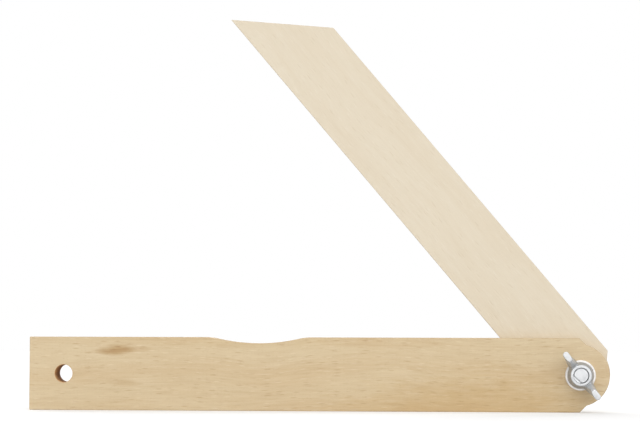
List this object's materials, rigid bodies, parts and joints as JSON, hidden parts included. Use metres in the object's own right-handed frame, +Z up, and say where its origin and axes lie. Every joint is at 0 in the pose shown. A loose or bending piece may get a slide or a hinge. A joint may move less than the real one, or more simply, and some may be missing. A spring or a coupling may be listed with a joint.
{
  "type": "folding wooden bevel",
  "caption": "Adjustable wooden bevel: a mitred blade swings out of a slotted beech stock on a carriage bolt and is clamped by a wing nut.",
  "frame": {"origin": "middle of the hanging hole, halfway through the stock's thickness", "axes": "+X along the middle of the stock to the blade's pivot, +Y through the stock to its back, +Z up, with the tool standing on the stock's lower edge and the wing nut facing -Y"},
  "size_m": [0.3004, 0.0373, 0.2038],
  "materials": {
    "stock_wood": "planed beech, waxed",
    "blade_wood": "pale planed beech",
    "zinc_plate": "bright zinc plate"
  },
  "bodies": {
    "stock": {"front_cheek": "stock_wood", "rear_cheek": "stock_wood", "tail_block": "stock_wood", "carriage_bolt": "zinc_plate"},
    "blade": {"blade": "blade_wood"},
    "washer": {"washer": "zinc_plate"},
    "wing_nut": {"wing_nut": "zinc_plate"}
  },
  "joints": [
    {"name": "blade_pivot", "type": "hinge", "parent": "stock", "child": "blade", "pos_m": [0.267, 0, 0], "axis": [0, 1, 0], "range_deg": [-49.8, 310.2]},
    {"name": "nut_travel", "type": "slide", "parent": "stock", "child": "washer", "axis": [0, -1, 0], "range_m": [0, 0.0051]},
    {"name": "wing_nut_turn", "type": "hinge", "parent": "washer", "child": "wing_nut", "pos_m": [0.267, -0.0092, 0], "axis": [0, -1, 0], "range_deg": [0, 1440]}
  ],
  "couplings": [
    {"joint": "nut_travel", "follows": "wing_nut_turn", "m_per_rad": 0.00019894}
  ]
}
